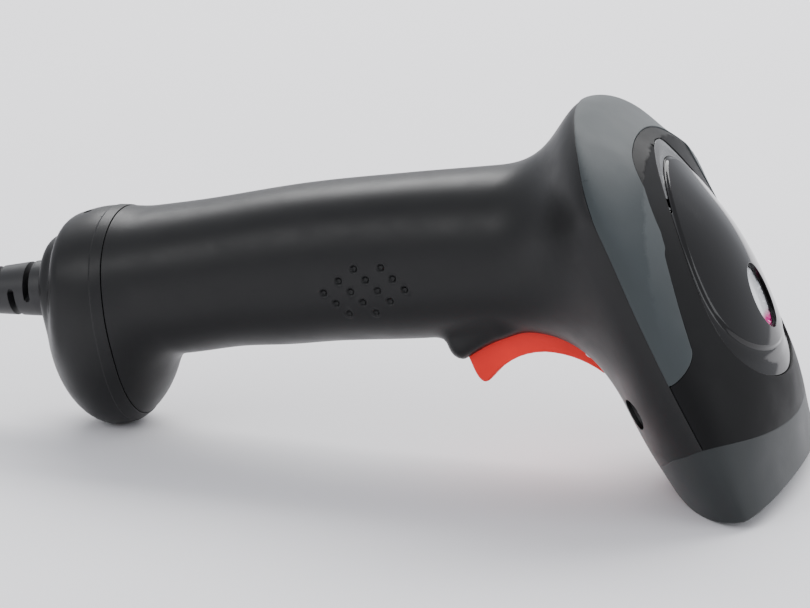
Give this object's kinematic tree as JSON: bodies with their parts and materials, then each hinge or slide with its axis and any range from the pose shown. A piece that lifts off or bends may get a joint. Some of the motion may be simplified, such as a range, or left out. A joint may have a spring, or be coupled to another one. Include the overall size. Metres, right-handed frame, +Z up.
{
  "type": "handheld barcode scanner",
  "caption": "Gun-style barcode scanner with a domed head, soft bumper, finger trigger and a coiled cable with a plug.",
  "frame": {"origin": "on the table under the middle of the scanner's own box, without its cable", "axes": "+X from the cable end of the handle towards the head, +Y to the left, +Z up; the scanner lies on the heel of its handle and the nose of its head"},
  "size_m": [0.3394, 0.0647, 0.082],
  "materials": {
    "black_plastic": "fine moulded texture, satin",
    "soft_grey": "soft-touch, matt",
    "bumper_grey": "soft-touch, matt",
    "gloss_black": "polished",
    "clear_lens": "polished clear plastic",
    "smoked_window": "polished dark red plastic",
    "red_plastic": "smooth, satin",
    "silver": "brushed and lacquered",
    "steel": "zinc plated",
    "brass": "turned",
    "zinc": "die cast",
    "board_green": "solder mask",
    "chip_black": "moulded",
    "copper": "enamelled wire",
    "mirror_silver": "polished",
    "filter_red": "polished",
    "white_plastic": "moulded",
    "rubber_black": "satin",
    "clear_plastic": "clear moulded plastic",
    "flex_amber": "polyimide film"
  },
  "bodies": {
    "scanner": {"main_housing": "black_plastic", "head_cover": "black_plastic", "grey_band": "soft_grey", "nose_bumper": "bumper_grey", "scan_window": "smoked_window", "window_gasket": "rubber_black", "top_panel": "gloss_black", "indicator_lens": "clear_lens", "badge": "silver", "end_cap": "black_plastic", "head_screw_right": "steel", "head_screw_left": "steel", "trigger_pin": "steel", "trigger_spring": "steel", "switch_body": "chip_black", "trigger_board": "board_green", "main_board": "board_green", "processor_chip": "chip_black", "memory_chip": "chip_black", "beeper": "chip_black", "flex_connector": "white_plastic", "board_screw_1": "steel", "board_screw_2": "steel", "flex_cable": "flex_amber", "led_board": "board_green", "indicator_led_1": "white_plastic", "indicator_led_2": "white_plastic", "engine_chassis": "zinc", "laser_barrel": "brass", "laser_lens": "clear_lens", "mirror_shaft": "steel", "drive_coil": "copper", "collector_filter": "filter_red", "photodiode": "chip_black", "engine_board": "board_green", "engine_screw_1": "steel", "engine_screw_2": "steel", "modular_jack": "chip_black", "modular_plug": "clear_plastic", "strain_relief": "rubber_black", "cord": "rubber_black", "cord_coil": "rubber_black", "cord_tie": "rubber_black", "usb_plug_body": "rubber_black", "usb_plug_shell": "steel", "usb_plug_tongue": "white_plastic"},
    "trigger": {"trigger": "red_plastic"},
    "plunger": {"switch_plunger": "white_plastic"},
    "mirror": {"scan_mirror": "mirror_silver", "mirror_carrier": "chip_black", "mirror_magnet": "steel"}
  },
  "joints": [
    {"name": "trigger_pull", "type": "hinge", "parent": "scanner", "child": "trigger", "pos_m": [0.04277, 0, 0.02956], "axis": [0, 1, 0], "range_deg": [0, 5], "stiffness_Nm_per_rad": 0.5, "springref_deg": -3.44, "deforming": ["trigger_spring"]},
    {"name": "switch_press", "type": "slide", "parent": "scanner", "child": "plunger", "axis": [0.0141, 0, 0.9999], "range_m": [0, 0.00075]},
    {"name": "mirror_scan", "type": "hinge", "parent": "scanner", "child": "mirror", "pos_m": [0.06098, -0.0046, 0.02795], "axis": [0.8555, 0, 0.5179], "range_deg": [-10, 10], "stiffness_Nm_per_rad": 0.0002}
  ],
  "couplings": [
    {"joint": "switch_press", "follows": "trigger_pull", "m_per_rad": 0.0085}
  ]
}
